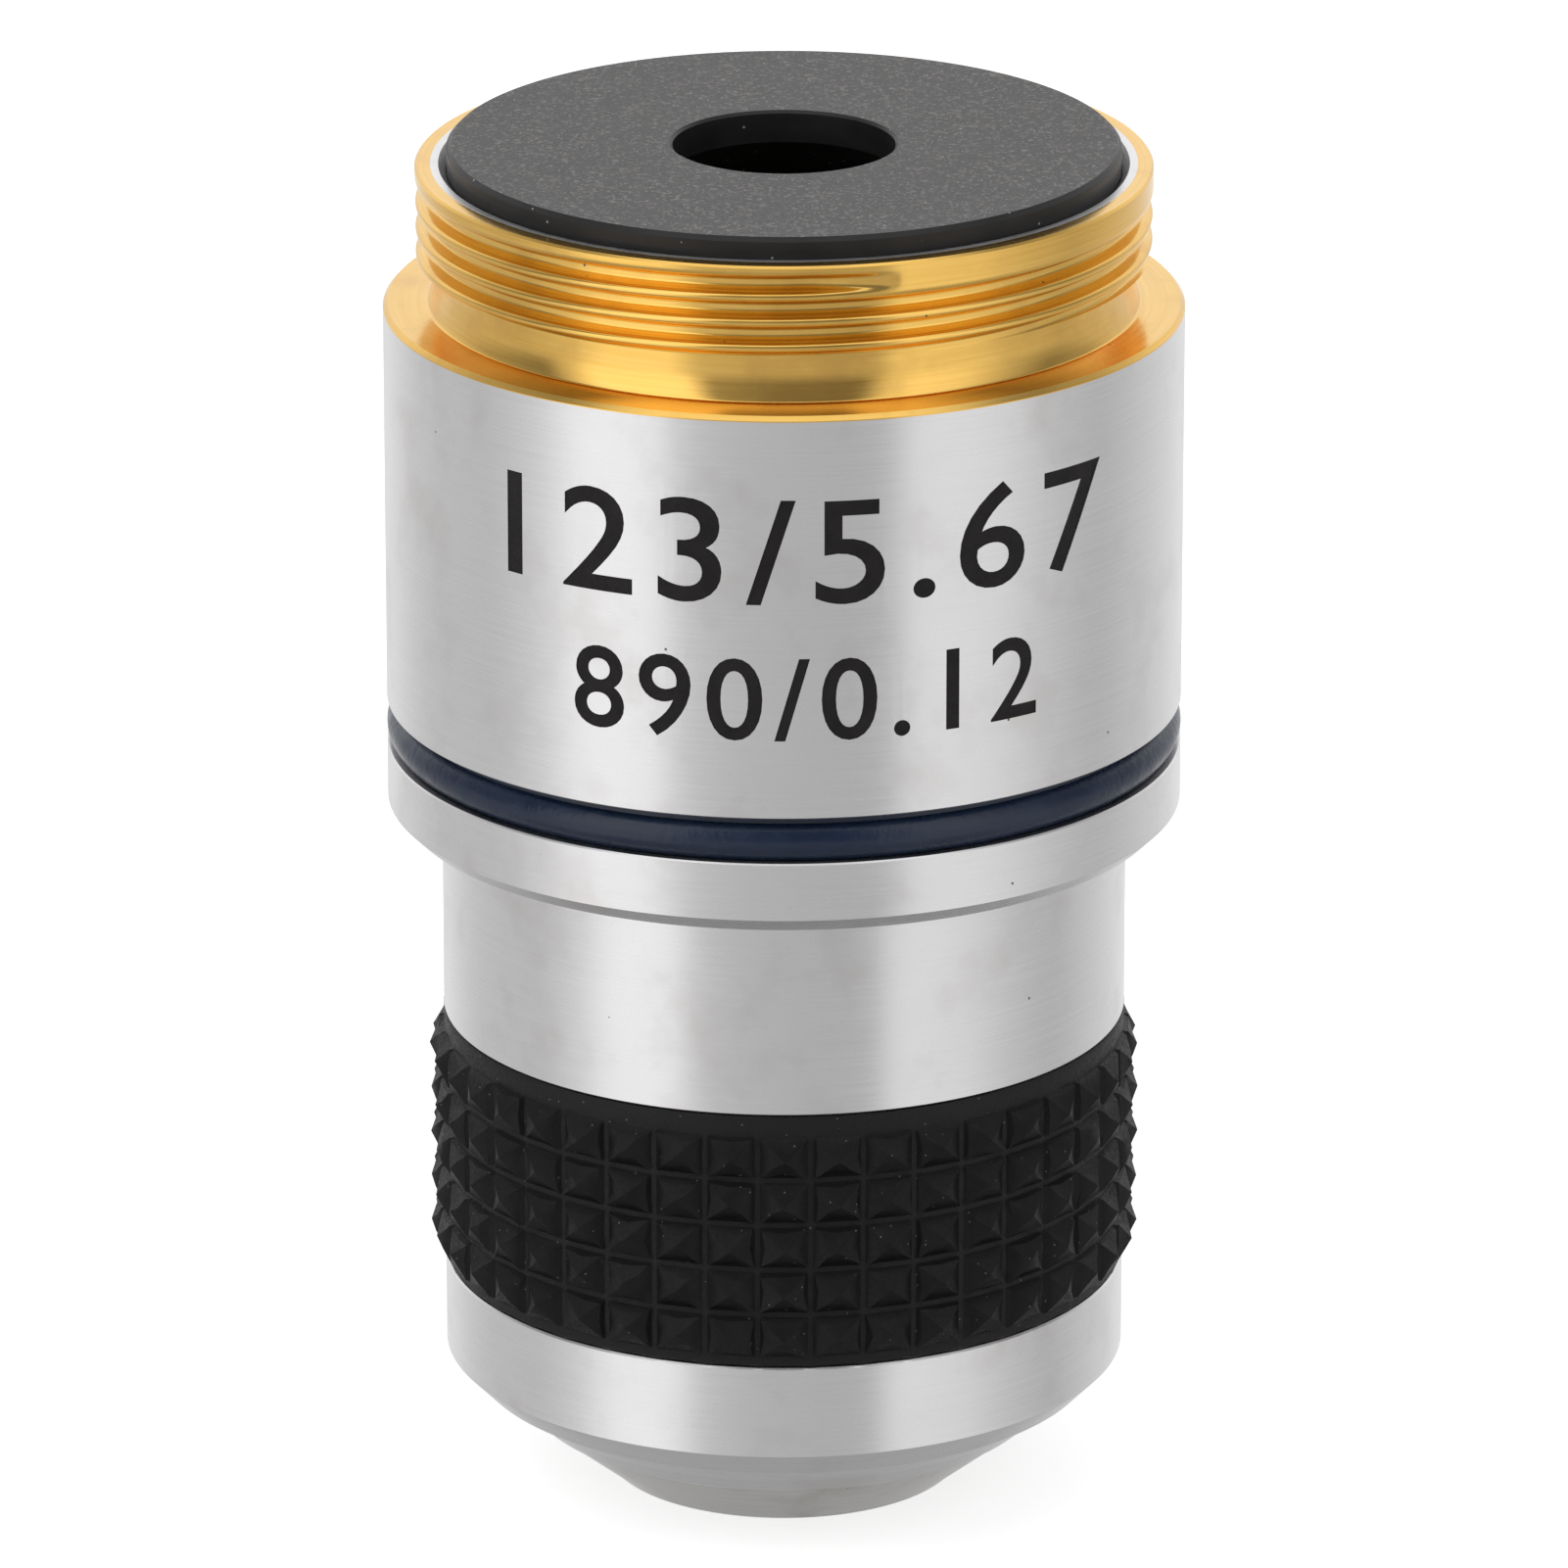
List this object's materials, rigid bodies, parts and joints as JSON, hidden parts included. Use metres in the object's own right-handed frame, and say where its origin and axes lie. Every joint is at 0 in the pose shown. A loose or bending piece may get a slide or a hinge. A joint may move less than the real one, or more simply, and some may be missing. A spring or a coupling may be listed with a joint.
{
  "type": "microscope objective",
  "caption": "Short cylindrical microscope objective with a brass mounting thread, dark blue band, rubber grip of small pyramids and a spring-loaded nose that retracts.",
  "frame": {"origin": "the middle of the nose's flat front face, which is the lowest point when the objective stands on it", "axes": "+Z along the optical axis, from the nose to the mounting thread; +X and +Y are free, because the part is round"},
  "size_m": [0.022, 0.022, 0.0385],
  "materials": {
    "satin_chrome": "fine-turned brass with satin chrome plating",
    "bare_brass": "turned, bare",
    "nickel_plate": "satin nickel plating",
    "band_enamel": "gloss dark blue enamel",
    "grip_rubber": "moulded, matte",
    "baffle_black": "fine-grained black",
    "blackened_brass": "blackened against stray light",
    "spring_steel": "drawn wire",
    "lens_glass": "polished, coated",
    "flint_glass": "polished, cemented"
  },
  "bodies": {
    "barrel": {"barrel": "satin_chrome", "colour_band": "band_enamel", "front_sleeve": "satin_chrome", "grip_ring": "grip_rubber", "rear_baffle": "baffle_black", "spring_retainer": "blackened_brass", "return_spring": "spring_steel", "guide_screw": "spring_steel", "parfocal_shim": "bare_brass"},
    "lens_tube": {"lens_tube": "bare_brass", "nose_cell": "nickel_plate", "front_lens": "lens_glass", "meniscus_cell": "bare_brass", "meniscus_lens": "lens_glass", "front_spacer": "blackened_brass", "doublet_a_cell": "bare_brass", "doublet_a_flint": "flint_glass", "doublet_a_crown": "lens_glass", "middle_spacer": "blackened_brass", "doublet_b_cell": "bare_brass", "doublet_b_flint": "flint_glass", "doublet_b_crown": "lens_glass", "aperture_stop": "blackened_brass", "cell_lock_ring": "blackened_brass"}
  },
  "joints": [
    {"name": "nose_retract", "type": "slide", "parent": "barrel", "child": "lens_tube", "axis": [0, 0, 1], "range_m": [0, 0.0015], "stiffness_N_per_m": 360, "springref_m": -0.008, "deforming": ["return_spring"]}
  ]
}
